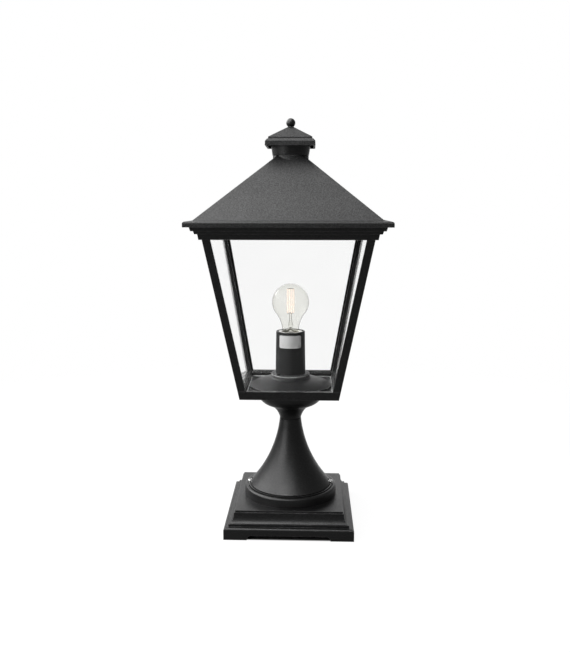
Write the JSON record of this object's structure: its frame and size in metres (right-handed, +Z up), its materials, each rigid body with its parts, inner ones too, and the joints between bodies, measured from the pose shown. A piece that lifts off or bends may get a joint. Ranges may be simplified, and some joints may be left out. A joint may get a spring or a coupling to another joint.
{
  "type": "garden lantern",
  "caption": "Square tapered garden lantern with glass panes, a pyramid roof with a vent cap, a screw-in lamp and a flared column on a stepped plinth.",
  "frame": {"origin": "middle of the plinth's underside, on the ground", "axes": "+Z up, -Y towards the front, the side the picture faces; +X to the right seen from the front"},
  "size_m": [0.2906, 0.2906, 0.6369],
  "materials": {
    "powder_coat": "matte black powder coat with a fine texture",
    "lamp_coat": "satin dark grey paint",
    "pane_glass": "clear float glass",
    "clear_seal": "translucent silicone strip",
    "rubber": "matte black rubber",
    "bright_steel": "bright stainless steel",
    "zinc_steel": "zinc plated steel",
    "white_plastic": "matte white moulded plastic",
    "label_foil": "blank silver foil",
    "porcelain": "glazed porcelain",
    "contact_brass": "plain brass",
    "lamp_cap": "nickel plated thin sheet",
    "cap_insulator": "dark vitreous insulator",
    "lamp_glass": "clear blown glass",
    "filament": "pale phosphor coating",
    "lamp_wire": "thin nickel wire"
  },
  "bodies": {
    "base": {"plinth": "powder_coat", "anchor_bracket": "zinc_steel", "terminal_block": "white_plastic", "inner_cable": "rubber", "cable_grommet": "rubber", "column": "powder_coat", "column_gasket": "rubber", "column_screws": "bright_steel", "neck_set_screw": "zinc_steel"},
    "head": {"bowl": "powder_coat", "stem_tube": "zinc_steel", "stem_nuts": "zinc_steel", "floor_tray": "powder_coat", "front_left_post": "powder_coat", "front_right_post": "powder_coat", "back_left_post": "powder_coat", "back_right_post": "powder_coat", "post_screws_lower": "zinc_steel", "post_screws_upper": "zinc_steel", "front_pane": "pane_glass", "right_pane": "pane_glass", "back_pane": "pane_glass", "left_pane": "pane_glass", "pane_seals": "clear_seal", "cornice": "powder_coat", "roof_seal": "rubber", "bridge_strap": "zinc_steel", "strap_screws": "zinc_steel", "tie_rod": "zinc_steel", "rod_nuts": "zinc_steel", "lamp_dome": "lamp_coat", "holder_tube": "lamp_coat", "holder_tube_screws": "lamp_coat", "rating_label": "label_foil", "lampholder": "porcelain", "screw_shell": "contact_brass", "centre_contact": "contact_brass"},
    "lamp_tip": {"bulb_contact": "contact_brass"},
    "lamp": {"bulb_glass": "lamp_glass", "bulb_cap": "lamp_cap", "bulb_insulator": "cap_insulator", "bulb_stem": "lamp_glass", "bulb_filaments": "filament", "bulb_wires": "lamp_wire"},
    "roof_lid": {"roof": "powder_coat"},
    "vent_cap": {"chimney": "powder_coat", "cap": "powder_coat"},
    "ball_seat": {"finial_washer": "powder_coat"},
    "ball": {"finial": "powder_coat"}
  },
  "joints": [
    {"name": "head_swivel", "type": "hinge", "parent": "base", "child": "head", "pos_m": [0, 0, 0.1662], "axis": [0, 0, 1], "range_deg": [-155, 155]},
    {"name": "roof_lift", "type": "slide", "parent": "head", "child": "roof_lid", "axis": [0, 0, 1], "range_m": [0, 0.18]},
    {"name": "cap_lift", "type": "slide", "parent": "roof_lid", "child": "vent_cap", "axis": [0, 0, 1], "range_m": [0, 0.06]},
    {"name": "finial_lift", "type": "slide", "parent": "vent_cap", "child": "ball_seat", "axis": [0, 0, 1], "range_m": [0, 0.0049]},
    {"name": "finial_turn", "type": "hinge", "parent": "ball_seat", "child": "ball", "pos_m": [0, 0, 0.63], "axis": [0, 0, 1], "range_deg": [0, 2160]},
    {"name": "lamp_lift", "type": "slide", "parent": "head", "child": "lamp_tip", "axis": [0, 0, 1], "range_m": [0, 0.0218]},
    {"name": "lamp_turn", "type": "hinge", "parent": "lamp_tip", "child": "lamp", "pos_m": [0, 0, 0.3], "axis": [0, 0, 1], "range_deg": [0, 2160]}
  ],
  "couplings": [
    {"joint": "finial_lift", "follows": "finial_turn", "m_per_rad": 0.00012732},
    {"joint": "lamp_lift", "follows": "lamp_turn", "m_per_rad": 0.00057614}
  ]
}
